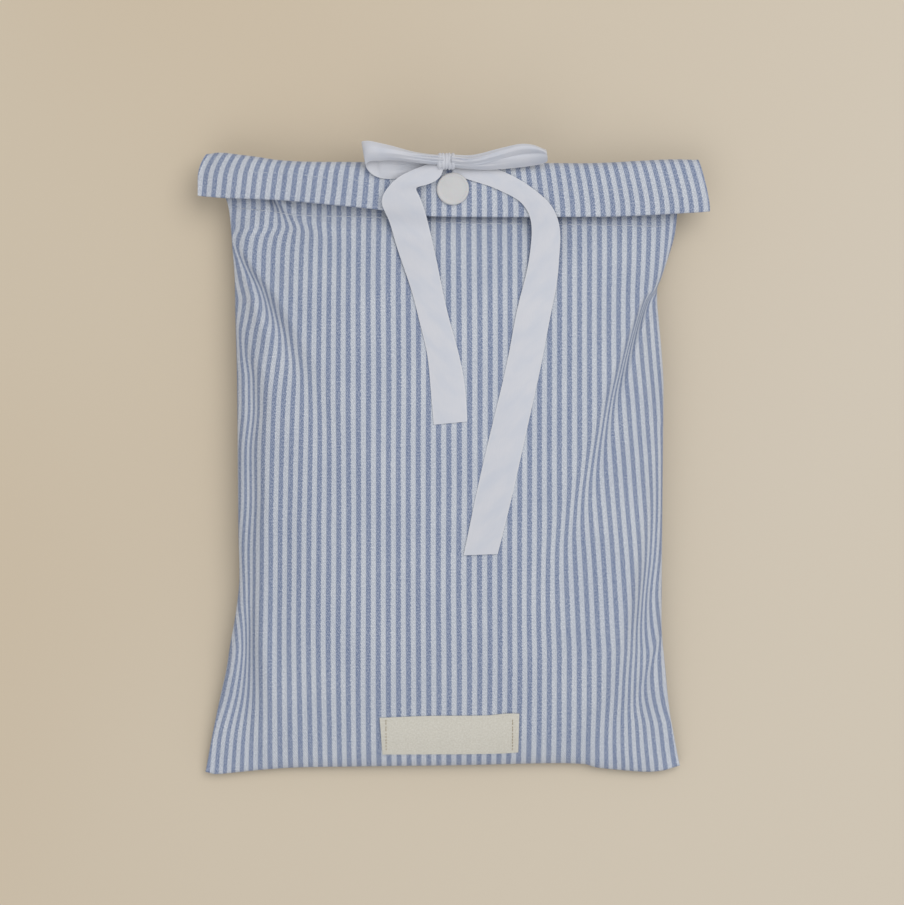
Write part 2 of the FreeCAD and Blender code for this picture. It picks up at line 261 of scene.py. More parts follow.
class Material:
    """A node-based material, built node by node."""

    def __init__(self, name):
        self.material = bpy.data.materials.new(name)
        self.material.use_nodes = True
        self.tree = self.material.node_tree
        self.shader = self.tree.nodes["Principled BSDF"]

    def add(self, kind, settings=None, **inputs):
        node = self.tree.nodes.new(kind)
        for key, value in (settings or {}).items():
            setattr(node, key, value)
        for key, value in inputs.items():
            self.feed(node.inputs[key.replace("_", " ")], value)
        return node

    def feed(self, socket, value):
        if isinstance(value, bpy.types.NodeSocket):
            self.tree.links.new(value, socket)
        else:
            socket.default_value = value

    def set(self, **inputs):
        for key, value in inputs.items():
            self.feed(self.shader.inputs[key.replace("_", " ")], value)

    def result(self, kind, settings, *values):
        """The output of a new node whose inputs are given in order."""
        node = self.add(kind, settings)
        for socket, value in zip(node.inputs, values):
            self.feed(socket, value)
        return node.outputs[0]

    def maths(self, operation, *values):
        return self.result("ShaderNodeMath", {"operation": operation}, *values)

    def between(self, value, low, high, to_low=0.0, to_high=1.0):
        return self.result("ShaderNodeMapRange", {"interpolation_type": "SMOOTHSTEP"},
                           value, low, high, to_low, to_high)

    def mix(self, share, first, second, blend="MIX"):
        node = self.add("ShaderNodeMix", {"data_type": "RGBA", "blend_type": blend})
        colour_sockets = [s for s in node.inputs if s.type == "RGBA"]
        self.feed(node.inputs[0], share)
        self.feed(colour_sockets[0], first)
        self.feed(colour_sockets[1], second)
        return [s for s in node.outputs if s.type == "RGBA"][0]

    def noise(self, vector, size, detail=2.0, roughness=0.5):
        """Noise whose lumps are about size millimetres."""
        return self.add("ShaderNodeTexNoise", Vector=vector, Scale=1 / (size * MM),
                        Detail=detail, Roughness=roughness).outputs[0]

    def wave(self, value, pitch):
        """Cosine of a length in metres, with the pitch in millimetres."""
        return self.maths("COSINE", self.maths("MULTIPLY", value, 2 * math.pi / (pitch * MM)))

    def bump(self, height, distance, strength=1.0):
        """distance is the height of the relief in millimetres."""
        node = self.add("ShaderNodeBump", Height=height, Distance=distance * MM, Strength=strength)
        self.feed(self.shader.inputs["Normal"], node.outputs[0])


def with_parts(look, vector):
    """A vector, and its parts across and along."""
    parts = look.add("ShaderNodeSeparateXYZ", Vector=vector)
    return vector, parts.outputs[0], parts.outputs[1]


def flat_cut(look):
    return with_parts(look, look.add("ShaderNodeUVMap", {"uv_map": CUT_MAP}).outputs[0])


def in_place(look):
    """For a piece that has no flat cut."""
    return with_parts(look, look.add("ShaderNodeTexCoord").outputs["Object"])


def striped_cotton():
    """Yarn-dyed twill: blue and pale stripes of equal width, with flecks where the yarns cross."""
    look = Material("striped_cotton")
    vector, across, along = flat_cut(look)
    yarn = look.noise(vector, 0.62, 2.0, 0.7)
    coarse = look.noise(vector, 1.4, 2.0)
    ragged = look.maths("MULTIPLY_ADD", yarn, 0.7 * MM, -0.35 * MM)
    edge = look.maths("ADD", across, ragged)
    stripe = look.between(look.wave(edge, stripe_pitch), -0.3, 0.3)
    diagonal = look.maths("MULTIPLY_ADD", along, 0.62, across)
    ribs = look.wave(diagonal, 0.85)
    fleck = look.maths("MULTIPLY_ADD", ribs, 0.05, yarn)
    fleck = look.between(fleck, 0.38, 0.66)
    blue = look.mix(fleck, srgb(119, 133, 163), srgb(172, 181, 200))
    pale = look.mix(fleck, srgb(190, 196, 206), srgb(220, 224, 230))
    cloth = look.mix(stripe, blue, pale)
    # Soft patches in lumps of about 22 mm, up to 3% darker, multiplied into the cloth's colour.
    darker_patches = look.between(look.noise(vector, 22, 3.0), 0.35, 0.7)
    patch_tint = look.mix(darker_patches, srgb(247, 248, 250), srgb(255, 255, 255))
    look.set(Base_Color=look.mix(1.0, cloth, patch_tint, "MULTIPLY"), Sheen_Weight=0.18,
             Sheen_Roughness=0.45, Specular_IOR_Level=0.18,
             Roughness=look.between(coarse, 0.2, 0.8, 0.78, 0.95))
    relief = look.maths("MULTIPLY_ADD", ribs, 0.35, look.maths("ADD", yarn, coarse))
    look.bump(relief, 0.13, 0.8)
    return look.material


def satin_ribbon():
    """White satin: long floats that give a soft sheen across the ribbon, and a ribbed selvedge whose lighter
    colour is a painted highlight along the edges.
    """
    look = Material("satin_ribbon")
    vector, across, along = flat_cut(look)
    stretched = look.result("ShaderNodeVectorMath", {"operation": "MULTIPLY"}, vector, (1.0, 0.08, 1.0))
    floats = look.noise(stretched, 0.35, 3.0, 0.6)
    cloudy = look.noise(vector, 9.0, 2.0)
    from_middle = look.maths("ABSOLUTE", across)
    # The selvedge is a real ribbed edge; its lighter colour is a painted highlight along the ribbon's edges.
    selvedge_and_highlight = look.between(from_middle, 5.35 * MM, 5.75 * MM)
    body = look.mix(floats, srgb(207, 209, 216), srgb(217, 218, 223))
    clouded = look.mix(look.between(cloudy, 0.3, 0.75), body, srgb(204, 208, 217))
    # The lighter selvedge colour here is the painted edge highlight.
    look.set(Base_Color=look.mix(selvedge_and_highlight, clouded, srgb(220, 222, 227)), Sheen_Weight=0.25,
             Sheen_Roughness=0.3, Specular_IOR_Level=0.42, Anisotropic=0.5,
             Roughness=look.between(floats, 0.2, 0.8, 0.42, 0.55))
    rib = look.wave(along, 0.5)
    ribbed = look.maths("MULTIPLY", rib, look.maths("MULTIPLY_ADD", selvedge_and_highlight, 0.9, 0.12))
    look.bump(look.maths("ADD", floats, ribbed), 0.06, 0.6)
    return look.material


def cotton_thread(name, light, dark):
    look = Material(name)
    vector, across, along = in_place(look)
    fibre = look.noise(vector, 0.25, 3.0, 0.6)
    ply = look.wave(look.maths("ADD", across, along), 0.3)
    look.set(Base_Color=look.mix(fibre, dark, light), Roughness=0.8, Sheen_Weight=0.2,
             Specular_IOR_Level=0.25)
    look.bump(look.maths("ADD", fibre, ply), 0.05, 0.7)
    return look.material


def white_plastic():
    """Moulded resin, nearly matte, with a faint flow texture."""
    look = Material("white_plastic")
    vector = in_place(look)[0]
    flow = look.noise(vector, 3.5, 3.0)
    grain = look.noise(vector, 0.18, 2.0)
    look.set(Base_Color=look.mix(flow, srgb(203, 203, 203), srgb(211, 211, 210)),
             Specular_IOR_Level=0.45, Subsurface_Weight=0.06, Subsurface_Scale=0.6 * MM,
             Roughness=look.between(grain, 0.2, 0.8, 0.36, 0.5))
    look.bump(look.maths("ADD", grain, flow), 0.03, 0.5)
    return look.material


def label_linen():
    """Undyed plain weave: uneven yarns both ways, with a slub here and there."""
    look = Material("label_linen")
    vector, across, along = flat_cut(look)
    uneven = look.noise(vector, 2.2, 3.0)
    drift = look.maths("MULTIPLY_ADD", uneven, 0.35 * MM, -0.17 * MM)
    warp = look.wave(look.maths("ADD", across, drift), 0.52)
    weft = look.wave(look.maths("ADD", along, drift), 0.5)
    weave = look.maths("MULTIPLY", warp, weft)
    slub = look.between(look.noise(vector, 0.7, 4.0, 0.65), 0.3, 0.75)
    shade = look.between(look.maths("MULTIPLY_ADD", weave, 0.22, slub), -0.1, 1.1)
    look.set(Base_Color=look.mix(shade, srgb(213, 209, 196), srgb(226, 223, 212)),
             Roughness=0.88, Sheen_Weight=0.15, Specular_IOR_Level=0.15)
    look.bump(look.maths("MULTIPLY_ADD", weave, 0.5, slub), 0.1, 0.7)
    return look.material


def floor_paper():
    """Plain warm backdrop paper with a soft drift of tone, painted light falloff and a fine tooth."""
    look = Material("floor_paper")
    vector, across, along = in_place(look)
    drift = look.noise(vector, 260, 1.0)
    tooth = look.noise(vector, 0.8, 3.0)
    # Painted light falloff: the paper is darker toward the upper left and lighter toward the lower right.
    painted_falloff = look.between(look.maths("MULTIPLY_ADD", along, -0.35, across), -0.25, 0.25)
    base = look.mix(painted_falloff, srgb(212, 196, 171), srgb(218, 208, 191))
    look.set(Base_Color=look.mix(look.between(drift, 0.35, 0.65, 0.0, 0.5), base, srgb(217, 205, 184)),
             Roughness=0.9, Specular_IOR_Level=0.1)
    look.bump(tooth, 0.05, 0.3)
    return look.material


materials = {
    "striped_cotton": striped_cotton(),
    "satin_ribbon": satin_ribbon(),
    "white_thread": cotton_thread("white_thread", srgb(217, 222, 229), srgb(196, 203, 215)),
    "label_thread": cotton_thread("label_thread", srgb(196, 184, 160), srgb(172, 158, 134)),
    "white_plastic": white_plastic(),
    "label_linen": label_linen(),
}


def finish_piece(piece, material, body=None, replaces=()):
    """Gives a piece its material, the body that it rides on and the CAD nodes that it stands for."""
    piece.data.materials.append(materials[material])
    if body:
        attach(piece, body)
    if replaces:
        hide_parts(*replaces)
    return piece


# ---- Shape of the filled body ----
# Outlines as (y, x), and heights as (y, z). They go through the CAD body's own outlines.
left_side = [(-119, -96), (-104, -92.9), (-89, -89.5), (-81, -87.6), (-71, -86), (-59, -83.8),
             (-45, -82.4), (-30, -82.7), (28, -83.2), (55, -83.9), (69, -84.2), (82, -85.2),
             (93, -86.1), (99, -87.3), (104, -90), (111, -94)]
right_side = [(-119, 87.2), (-105, 84.5), (-96, 82.9), (-82, 81.4), (-62, 79.7), (-15, 79.9),
              (28, 80.3), (41, 79.6), (52, 78.6), (61, 77.9), (65, 77.9), (69, 79.4), (76, 81.8),
              (87, 84.9), (96, 86), (104, 89.5), (111, 93.5)]
bottom_edge = [(-96, -121), (-92, -121.9), (-84, -121.2), (-74, -120.2), (-60, -119.3), (-33, -118.9),
               (0, -118.5), (41, -117.7), (50, -118), (55, -119.3), (63, -120.2), (75, -121),
               (80, -120.6), (87, -118.6)]
front_crown = [(-118.8, 3.4), (-117.8, 5.4), (-115.5, 7.6), (-111, 10), (-100, 14), (-84, 19), (-62, 24),
               (-35, 27.5), (-5, 29), (30, 28.5), (60, 26), (78, 21.5), (88, 17.9), (96, 15.6), (111, 15.4)]
seam_height = [(-121, 2.8), (-100, 4.5), (-62, 8.5), (0, 10.5), (60, 10), (92, 9), (111, 8.6)]
back_low = [(-121, 0.9), (-112, 0.3), (-100, 0.05), (78, 0.05), (90, 1.5), (102, 4.5), (111, 7)]

# Folds in the front, from top to bottom: (y, x, half width, cloth taken up). The cloth that a fold
# takes up crowds the stripes there, and it sinks the surface.
fold_upper_left = [(111, -72, 1.3, 5.4), (99.6, -69.6, 1.3, 5.4), (96, -67.5, 1.8, 5.4),
                   (92.4, -65.3, 3.4, 5), (88.5, -61.5, 7, 4.6), (84.5, -58.5, 12, 2.8),
                   (78, -55.5, 14, 1.6), (60, -52, 16, 0.8), (22, -47.5, 16, 0)]
fold_left = [(85, -86.5, 1.2, 0), (82, -85, 1.2, 2.4), (77.8, -82.6, 1.4, 3.6), (72.9, -79.4, 1.5, 4.5),
             (68.8, -76.4, 1.7, 5.3), (64.7, -73.7, 2, 6.3), (60.8, -71.9, 2.3, 7.2), (54, -68.6, 2.5, 6.2),
             (48, -65.6, 2.9, 4.8), (41, -62.8, 3.6, 3.8), (33.6, -59.3, 4.6, 2.8), (25, -56, 5.6, 1.9),
             (3, -49.5, 9, 0.8), (-24, -45.5, 11.5, 0)]
fold_left_side = [(53, -84, 1.3, 0), (46, -82.3, 1.6, 1.6), (39, -80, 2, 2.6), (30, -77.2, 2.6, 4.6),
                  (18, -76.4, 3, 5.6), (3, -78, 2.7, 4.4), (-16, -77.6, 3.2, 4.8), (-35, -78.3, 2.8, 3.2),
                  (-54, -78.8, 2.6, 5), (-66, -79.2, 2.8, 8.4), (-74, -79.6, 3.2, 10), (-89, -80.2, 5, 8),
                  (-108, -84, 9, 3.5), (-122, -88, 9.5, 2.5)]
fold_right = [(97, 86.5, 4, 2), (86, 84.6, 3, 3), (76, 82.3, 1.6, 5.5), (69, 80, 1.1, 10), (65, 78, 1.1, 11),
              (60.9, 74.4, 1.2, 11.4), (53.6, 71.1, 1.3, 10.8), (43, 67.2, 1.5, 9.8), (33, 63.8, 1.8, 8.8),
              (22, 60, 2.2, 7.6), (10, 56.6, 2.8, 6.6), (3, 54.4, 3.3, 5.9), (-12, 49.2, 4.4, 4.6),
              (-25, 44.5, 5.6, 3.4), (-35, 40.2, 7, 2.5), (-54, 35, 8.5, 1.2), (-74, 31, 9.5, 0)]
fold_right_side = [(11, 79, 2.6, 1), (-16, 77.5, 2.7, 3), (-35, 75.5, 3.2, 6), (-54, 72.6, 3.2, 9.4),
                   (-66, 70.6, 3.8, 8.6), (-74, 69.6, 4.6, 7.8), (-89, 68.2, 6.4, 7.8),
                   (-108, 69, 14.5, 6.5), (-122, 71.5, 17.5, 5)]
fold_right_low = [(-66, 81, 1.1, 1.5), (-70, 79.4, 1.2, 2.2), (-76, 76.8, 1.4, 2.3), (-84, 73.6, 1.8, 2),
                  (-93, 70.4, 2.6, 1.2), (-101, 68.5, 4, 0)]
# Each with how deep it sinks, as a share of the cloth that it takes up.
front_folds = [(fold_upper_left, 0.3), (fold_left, 0.36), (fold_left_side, 0.26), (fold_right, 0.22),
               (fold_right_side, 0.26), (fold_right_low, 0.5)]
fold_shoulder = 0.4  # height of the swell beside a fold, as a share of its depth
fold_edge_fade = 7.0  # folds level out this near the side seam
fold_end_fade = 3.0  # and this far past their two ends


def fold_lines(fold, y):
    """Centre, half width and take-up of a fold in the rows at y. It fades out past its two ends."""
    rising = sorted(fold)
    lines = [smooth([(row[0], row[k]) for row in rising], y) for k in (1, 2, 3)]
    past = np.maximum(rising[0][0] - y, y - rising[-1][0])
    lines[2] = lines[2] * (1 - ease(past / fold_end_fade))
    return lines


def sides_at(y):
    left = smooth(left_side, y)
    right = smooth(right_side, y)
    return (left + right) / 2, (right - left) / 2


def body_grid(row_count, column_count):
    """Places over the body: share of the half width, x and y, and each row's y before the edge bows."""
    v = np.linspace(0, 1, row_count)
    v = 0.35 * (0.5 - 0.5 * np.cos(math.pi * v)) + 0.65 * v  # closer together near the edges
    t = np.linspace(-1, 1, column_count)
    share = 0.62 * np.sin(math.pi / 2 * t) + 0.38 * t
    row_y, share = np.meshgrid(bottom_y + (mouth_y - bottom_y) * v, share, indexing="ij")
    middle, half = sides_at(row_y)
    x = middle + half * share
    bowed = (smooth(bottom_edge, x) - bottom_y) * np.exp(-(row_y - bottom_y) / corner_reach)
    return share, x, row_y + bowed, row_y


def rim_at(row_y):
    """Radius of the rolled-under rim, which tightens toward the bottom corners."""
    return rim_radius * (0.3 + 0.7 * ease((row_y - bottom_y) / corner_reach))


def filled_profile(share, row_y):
    """Height of the filled front before its folds: a lens shape from seam to seam."""
    base = smooth(seam_height, row_y) + rim_at(row_y)
    crown = smooth(front_crown, row_y)
    corner = np.exp(-((row_y - bottom_y) / 22) ** 2)
    bulge = np.clip(1 - np.abs(share) ** (2.7 - 0.6 * corner), 0, 1) ** 0.7
    return base, base + (crown - base) * bulge


def cut_across(share, x, row_y):
    """Flat-cut coordinate across the panel: the slopes take cloth up, and so do the folds."""
    across = arc_across(x, row_y, filled_profile(share, row_y)[1])
    for fold, _ in front_folds:
        centre, width, taken = fold_lines(fold, row_y)
        across += taken / 2 * (erf((x - centre) / width) - erf(-centre / width))
    return across + 0.45 * wander(x, row_y, (24, 55), SEED + 1.7)


def front_heights(share, x, row_y):
    base, z = filled_profile(share, row_y)
    from_side = sides_at(row_y)[1] * (1 - np.abs(share))
    level = ease(from_side / fold_edge_fade) * ease((row_y - bottom_y) / 14)
    for fold, depth in front_folds:
        centre, width, taken = fold_lines(fold, row_y)
        t = (x - centre) / (width * 1.15)
        sunk = bell(t) - fold_shoulder * (bell((t - 1.9) / 1.1) + bell((t + 1.9) / 1.1))
        z = z - depth * taken * sunk * level
    side_share = ease((np.abs(share) - 0.45) / 0.5)
    upright = wander(x, row_y, (9, 60), SEED) * (0.25 + 0.75 * side_share)
    small = wander(x, row_y, (4.5, 26), SEED + 3.3) * side_share
    puckers = wander(x, row_y, (3.2, 14), SEED + 8.1) * bell((row_y - 91) / 7)
    gathers = wander(x, row_y, (4.0, 18), SEED + 5.7) * bell((row_y - bottom_y - 7) / 8)
    ripple = 0.8 * upright + 0.35 * small + 0.3 * puckers + 0.4 * gathers
    return np.maximum(z + ripple * ease(from_side / 4) * ease((row_y - bottom_y) / 5), base)


def rolled_under(grids, radius, steps=6):
    """Adds a rim that turns under the sides and the bottom, down to the seam."""
    step = math.radians(105) / steps
    turns = step * np.arange(steps + 1)
    parts = list(zip(-np.diff(np.cos(turns)), np.diff(np.sin(turns))))
    for inward, down in parts:
        grids = [np.pad(grid, ((0, 0), (1, 1)), mode="edge") for grid in grids]
        x, y, z, across, along = grids
        for column, way in ((0, 1), (-1, -1)):
            x[:, column] += way * radius * inward
            z[:, column] -= radius * down
            across[:, column] -= way * radius * step
    for inward, down in parts:
        grids = [np.pad(grid, ((1, 0), (0, 0)), mode="edge") for grid in grids]
        x, y, z, across, along = grids
        y[0] += radius[0] * inward
        z[0] -= radius[0] * down
        along[0] -= radius[0] * step
    return grids


def front_cloth():
    share, x, y, row_y = body_grid(row_count=250, column_count=271)
    z = front_heights(share, x, row_y)
    grids = [x, y, z, cut_across(share, x, row_y), arc_along(x, y, z, 0)]
    return cloth_piece("front_cloth", *rolled_under(grids, rim_at(row_y[:, 0])), cloth_thickness)


def back_cloth():
    """Lies flat in the middle and rounds up to the side seams."""
    share, x, y, row_y = body_grid(row_count=150, column_count=140)
    middle, half = sides_at(row_y)
    inset = rim_radius * 0.8
    x = middle + (half - inset) * share
    y = y + inset * np.exp(-(row_y - bottom_y) / corner_reach)
    base = smooth(seam_height, row_y) + 0.2
    past = np.clip((np.abs(share) - 0.7) / 0.3, 0, 1)
    depth = np.sqrt(np.clip(1 - past ** 2, 0, 1)) * ease((row_y - bottom_y) / 9 + 0.15)
    z = base - (base - smooth(back_low, row_y)) * depth
    wrinkle = np.abs(wander(x, row_y, (10, 45), SEED + 11)) * ease(past * 4) * ease((1 - past) * 5)
    z = np.maximum(z + 1.2 * wrinkle, 0.05)
    return cloth_piece("back_cloth", x, y, z, arc_across(x, y, z), arc_along(x, y, z, 0),
                       cloth_thickness, flip=True)


front = finish_piece(front_cloth(), "striped_cotton", "pouch", ["front_panel"])
back = finish_piece(back_cloth(), "striped_cotton", "pouch", ["back_panel"])
front_tree = tree_of(front)


def mouth_hem():
    """The top of the front panel, turned in and lying just under it."""
    side_inset = 7
    gap = 0.35
    line = np.linspace(mouth_y - hem_depth, mouth_y - 0.4, 30)
    y, share = np.meshgrid(line, np.linspace(-1, 1, 120), indexing="ij")
    middle, half = sides_at(y)
    x = middle + (half - side_inset) * share
    z = ground_under([front_tree], x, y) - cloth_thickness - gap
    return cloth_piece("front_mouth_hem_cloth", x, y, z, x, arc_along(x, y, z, 0), cloth_thickness)


hem = finish_piece(mouth_hem(), "striped_cotton", "pouch", ["front_mouth_hem"])


# ---- Seams ----
seam_inset = 2.2  # a side seam's strip starts this far inside the outline
seam_width = 5.3
seam_stitch_inset = 4.9
body_sides = {"left": (left_side, 1), "right": (right_side, -1)}  # with the way inward


def seam_strip(name, x_lines, y_lines, heights):
    """Two raw edges stitched together: a narrow double strip between two lines."""
    thickness = 1.0
    t = np.linspace(0, 1, 7)
    x = spread(*x_lines, t)
    y = spread(*y_lines, t)
    wave = wander(x, y, (4, 5), SEED + 2.2) * 0.25 * t
    z = heights[:, None] + thickness / 2 + wave + 0.4
    piece = cloth_piece(name + "_cloth", x, y, z, x, y, thickness)
    return finish_piece(piece, "striped_cotton", "pouch", [name])


def side_seam(name):
    side, inward = body_sides[name]
    y = np.linspace(bottom_y + 17, mouth_y - 0.6, 130)
    start = smooth(side, y) + inward * seam_inset
    return seam_strip("side_seam_" + name, (start, start + inward * seam_width), (y, y),
                      smooth(seam_height, y))


def bottom_seam():
    x = np.linspace(-81, 73, 100)
    start = smooth(bottom_edge, x) + 2.4
    return seam_strip("bottom_seam", (x, x), (start, start + 6), np.full(100, 2.9))


seams = [side_seam("left"), side_seam("right"), bottom_seam()]


# ---- Stitches ----
stitch_length = 2.3
stitch_pitch = 3.2


def stitch_tube(start, end, radius):
    """One stitch: a thread that rises from the cloth, lies on it and goes back in."""
    along = (end - start).normalized()
    side = along.cross(Vector((0, 0, 1))).normalized()
    up = side.cross(along)
    # Rings along the stitch: share of its length, rise and size, in thread radii.
    rings = [(0, -0.9, 0.7), (0.1, 0.1, 1), (0.35, 0.55, 1.08), (0.65, 0.55, 1.08), (0.9, 0.1, 1),
             (1, -0.9, 0.7)]
    sides = 7
    points = []
    for share, rise, size in rings:
        centre = start.lerp(end, share) + up * rise * radius
        for k in range(sides):
            turn = 2 * math.pi * k / sides
            points.append(centre + (side * math.cos(turn) + up * math.sin(turn)) * radius * size)
    faces = ring_faces(len(rings), sides)
    faces.append(tuple(range(sides)))
    faces.append(tuple(len(points) - 1 - k for k in range(sides)))
    return points, faces


def stitch_row(name, runs, radius, body="pouch", material="white_thread"):
    """Stitches from a list of (start, end) points, joined in one piece that stands for a CAD node."""
    points = []
    faces = []
    for start, end in runs:
        more_points, more_faces = stitch_tube(Vector(start), Vector(end), radius)
        faces.extend(tuple(k + len(points) for k in face) for face in more_faces)
        points.extend(tuple(p) for p in more_points)
    piece = link_mesh(name + "_thread", points, faces)
    return finish_piece(piece, material, body, [name])


def even_runs(point_at, start, end, pitch=stitch_pitch, length=stitch_length):
    """Stitches at an even pitch between two places; each varies a little."""
    chance = random.Random(SEED)
    runs = []
    for i in range(int((end - start) / pitch)):
        at = start + pitch * i + chance.uniform(-0.12, 0.12)
        runs.append((point_at(at), point_at(at + length + chance.uniform(-0.2, 0.2))))
    return runs


mouth_stitch_line = [(-86, 96.2), (-69, 94.5), (-60, 93.1), (-30, 92.1), (0, 90), (40, 89.4), (84, 88.9)]


def over(trees, x, y, lift=0.0):
    return (x, y, height_over(trees, x, y) + lift)


def side_runs(name):
    side, inward = body_sides[name]

    def point_at(y):
        return (smooth(side, y) + inward * seam_stitch_inset, y, smooth(seam_height, y) + 0.7)
    return even_runs(point_at, -97, 106)


mouth_runs = even_runs(lambda x: over([front_tree], x, smooth(mouth_stitch_line, x), 0.09),
                       -84, 83, pitch=2.5, length=2.25)
bottom_runs = even_runs(lambda x: (x, smooth(bottom_edge, x) + 5, 3.6), -79, 71)
pouch_runs = {"mouth_hem_stitches": mouth_runs, "side_seam_stitches_left": side_runs("left"),
              "side_seam_stitches_right": side_runs("right"), "bottom_seam_stitches": bottom_runs}
pouch_stitches = [stitch_row(name, runs, radius=0.13) for name, runs in pouch_runs.items()]


# ---- Label ----
def label_piece():
    """A blank linen tag, pressed and sewn down at its two ends."""
    thickness = 0.42
    v, u = np.meshgrid(np.linspace(0, 1, 34), np.linspace(0, 1, 110), indexing="ij")
    x = label_low.x + 0.5 + (label_high.x - label_low.x - 0.5) * u + (v - 0.5) * (1.3 * u - 1)
    top = label_high.y - 0.5 + smooth([(0, -0.2), (0.4, 0.6), (0.75, 0.7), (0.93, 1.5), (1, 1.4)], u)
    low = label_low.y - 0.9 + smooth([(0, -0.3), (0.5, -0.2), (0.85, 0.0), (1, 0.5)], u)
    y = low + (top - low) * v
    raised = 0.35 * bell((v - 0.5) / 0.35) + 0.4 * bell((u - 0.93) / 0.05) * v
    z = ground_under([front_tree], x, y) + thickness + 0.04 + raised
    return cloth_piece("label_cloth", x, y, z, x, y, thickness)


label = finish_piece(label_piece(), "label_linen", "pouch", ["label"])
label_tree = tree_of(label)


def label_column(name, x):
    runs = even_runs(lambda y: over([label_tree], x, y, 0.08),
                     label_low.y + 0.6, label_high.y - 0.6, pitch=1.25, length=0.85)
    return stitch_row(name, runs, radius=0.14, material="label_thread")


label_rows = [label_column("label_stitches_left", label_low.x + 2.4),
              label_column("label_stitches_right", label_high.x - 2.4)]


# ---- Flap ----
fold_y = 113.0
fold_z = 8.5
# Section of the flap's outer face, (y, z), from the fold, up round the mouth, to the free edge.
flap_section = [(fold_y + 0.1, fold_z - 0.5), (fold_y + 0.3, fold_z + 3), (fold_y, fold_z + 7),
                (fold_y - 1, fold_z + 10.3), (fold_y - 3, fold_z + 12), (fold_y - 6, flap_top_z),
                (fold_y - 13, flap_top_z), (fold_y - 20.3, flap_top_z - 0.1)]
flap_flat_shares = [0, 0.05, 0.12, 0.2, 0.3, 0.42, 0.7, 1]
flap_crest_shares = [0, 0.8, 1, 1, 0.8, 0.35, 0, 0]
flap_edge = [(-97.6, 101), (-87, 100.2), (-66, 99.2), (-48, 97.5), (-28, 95.4), (-9, 92.9), (20, 92.6),
             (55, 92.8), (97.6, 95)]
flap_crest_rise = [(-97.6, 4.3), (-94, 4.6), (-84, 3.3), (-76, 2.1), (-68, 0.8), (-58, 0.1), (-50, 0),
                   (50, 0), (62, 0.4), (72, 1.1), (86, 2.1), (97.6, 2.6)]
flap_lean = [(-97.6, 0.1), (-70, 0.13), (-50, 0.13), (-28, 0.06), (-10, 0), (10, 0), (40, -0.05),
             (70, -0.04), (97.6, -0.01)]
flap_end_z = fold_z + 0.7
flap_end_fullness = 0.15


def flap_rows(x):
    """Control points of the flap's section at each x, as rows of y and z."""
    share = np.clip(np.abs(x) / flap_half_width, 0, 0.98)
    full = flap_end_fullness + (1 - flap_end_fullness) * np.sqrt(1 - share ** 3)
    edge = smooth(flap_edge, x)
    rise = smooth(flap_crest_rise, x)
    root_y = flap_section[0][0]
    tip_y = flap_section[-1][0]
    rows = []
    for (y, z), flat, crest in zip(flap_section, flap_flat_shares, flap_crest_shares):
        flat_y = root_y + (edge - root_y) * flat
        bent_y = y + (edge - tip_y) * flat
        row_y = flat_y + (bent_y - flat_y) * full + rise * crest
        rows.append((row_y, flap_end_z + (z - flap_end_z) * full))
    return np.array(rows)


def flap_surface(column_count, row_count, depth=0.0, first=0.0, last=1.0, reach=1.0):
    """Grid of the flap's face, depth inside its outer one, over part of its section and width."""
    samples = 400
    x = np.linspace(-flap_half_width, flap_half_width, column_count) * reach
    controls = flap_rows(x)
    lines = np.array([spline(controls[:, :, k], samples) for k in range(column_count)])
    tangent = np.gradient(lines, axis=1)
    tangent /= np.linalg.norm(tangent, axis=2, keepdims=True)
    inward = np.stack([-tangent[:, :, 1], tangent[:, :, 0]], axis=2)
    end_share = (np.abs(x) / flap_half_width)[:, None, None]
    lines = lines + inward * depth * (1 - 0.45 * end_share ** 8)
    picks = np.linspace(first, last, row_count) * (samples - 1)
    low = np.floor(picks).astype(int).clip(0, samples - 2)
    part = (picks - low)[None, :, None]
    section = lines[:, low] * (1 - part) + lines[:, low + 1] * part
    return np.repeat(x[None, :], row_count, axis=0), section[:, :, 0].T, section[:, :, 1].T


def flap_outline(x, y):
    """The two ends slant: the flap is a little narrower at its fold."""
    left = 0.028 * np.clip((y - 107) / 9, 0, 1.1) ** 2 - 0.007
    right = 0.045 * np.clip((y - 96) / 19, 0, 1.1) ** 1.4 - 0.005
    return x * (1 - np.where(x < 0, left, right))


def rippled(x, y, z):
    """Heights with soft lumps, but none in the fold or round the snap."""
    lumps = wander(x, y, (11, 16), SEED + 21) * 0.35 + wander(x, y, (5, 9), SEED + 27) * 0.16
    left_gather = wander(x, y, (4, 7), SEED + 31) * bell((x + 68) / 14) * bell((y - 113) / 5) * 0.7
    around_snap = ease((np.hypot(x - snap_x, y - snap_y) - snap_radius) / 8)
    return z + (lumps + left_gather) * around_snap * ease((z - fold_z - 1) / 4)


def flap_cut(x, y):
    """Flat-cut coordinate across the flap: its stripes lean a little."""
    return x + smooth(flap_lean, x) * (fold_y + 0.5 - y)


def flap_layer(name, x, y, z):
    return cloth_piece(name, flap_outline(x, y), y, z, flap_cut(x, y), arc_along(x, y, z, 0),
                       cloth_thickness, flip=True)


def flap_cloth():
    """The outer layer, from the fold over the mouth to the free edge, which rolls under."""
    x, y, z = flap_surface(236, 90)
    z = rippled(x, y, z)
    roll_steps = 5
    end_share = np.abs(x[0]) / flap_half_width
    roll_radius = 0.75 * (1 - 0.55 * end_share ** 16)
    rolls = []
    for k in range(1, roll_steps + 1):
        turn = math.pi * k / roll_steps
        rolls.append((y[-1] - roll_radius * math.sin(turn), z[-1] - roll_radius * (1 - math.cos(turn))))
    rolls.append((y[-1] + 4 * roll_radius, z[-1] - 2 * roll_radius - 0.05))
    y = np.vstack([y] + [roll[0] for roll in rolls])
    z = np.vstack([z] + [roll[1] for roll in rolls])
    return flap_layer("flap_cloth", np.repeat(x[:1], len(y), axis=0), y, z)


